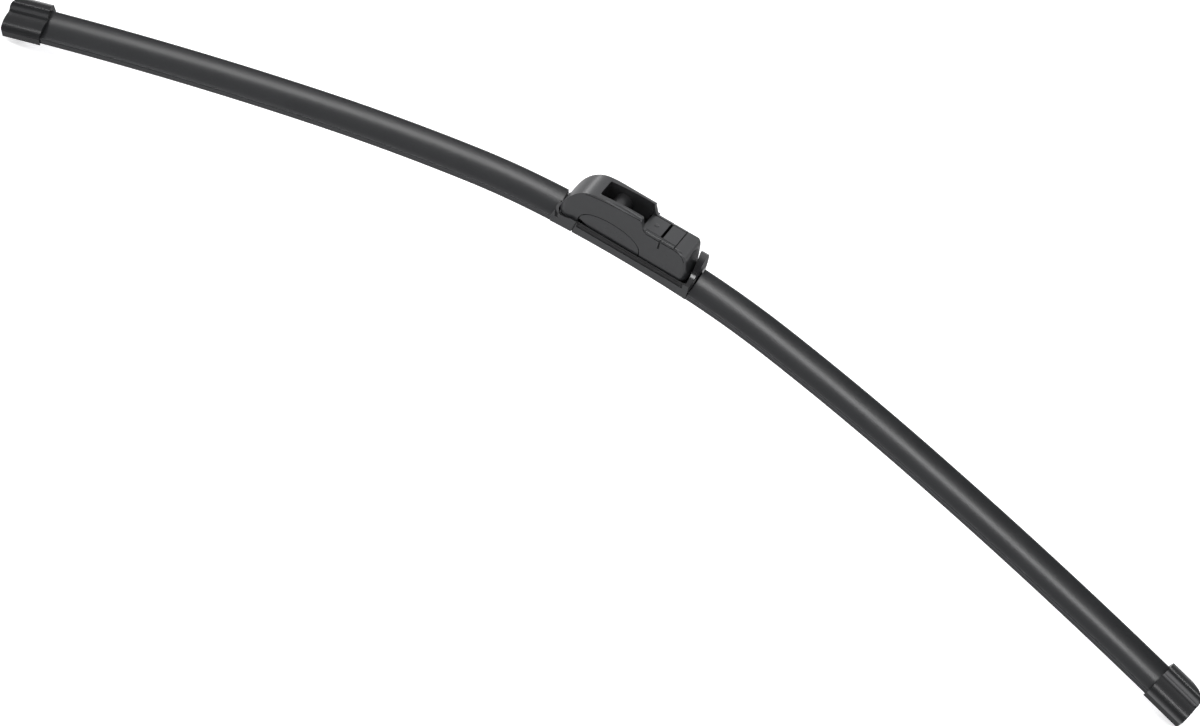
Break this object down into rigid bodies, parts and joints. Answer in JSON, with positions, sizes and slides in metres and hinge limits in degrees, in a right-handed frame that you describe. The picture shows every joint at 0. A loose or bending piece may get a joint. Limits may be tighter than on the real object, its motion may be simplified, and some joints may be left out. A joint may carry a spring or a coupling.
{
  "type": "wiper blade",
  "caption": "Curved beam wiper blade with a sloped spoiler on each side, end caps and a hook connector that rocks at its middle.",
  "frame": {"origin": "on the axis of the saddle that the arm's hook wraps round, midway across it", "axes": "+X along the blade towards the blunt end of the adapter, +Y across the blade away from the spoilers' slope, +Z away from the glass"},
  "size_m": [0.6302, 0.0172, 0.1167],
  "materials": {
    "shell": "satin moulded plastic, near black",
    "spoiler": "satin extruded rubber, near black",
    "tray": "polished moulded plastic, black",
    "lip": "matt graphite coated rubber",
    "steel": "bright spring steel",
    "bridge": "black painted sheet steel"
  },
  "bodies": {
    "adapter": {"adapter_body": "shell", "hook_clip": "tray"},
    "blade": {"wiping_rubber": "lip", "front_rail": "steel", "rear_rail": "steel", "left_spoiler": "spoiler", "right_spoiler": "spoiler", "left_end_cap": "shell", "right_end_cap": "shell", "left_end_clip": "steel", "right_end_clip": "steel", "bridge_bracket": "bridge", "base_tray": "tray", "pivot_rivet": "steel", "pivot_sleeve": "steel"},
    "button": {"release_button": "shell"}
  },
  "joints": [
    {"name": "blade_rock", "type": "hinge", "parent": "adapter", "child": "blade", "pos_m": [0.0086, 0, -0.0087], "axis": [0, 1, 0], "range_deg": [-4, 4]},
    {"name": "button_press", "type": "slide", "parent": "adapter", "child": "button", "axis": [0, 0, -1], "range_m": [0, 0.0012], "stiffness_N_per_m": 800}
  ]
}
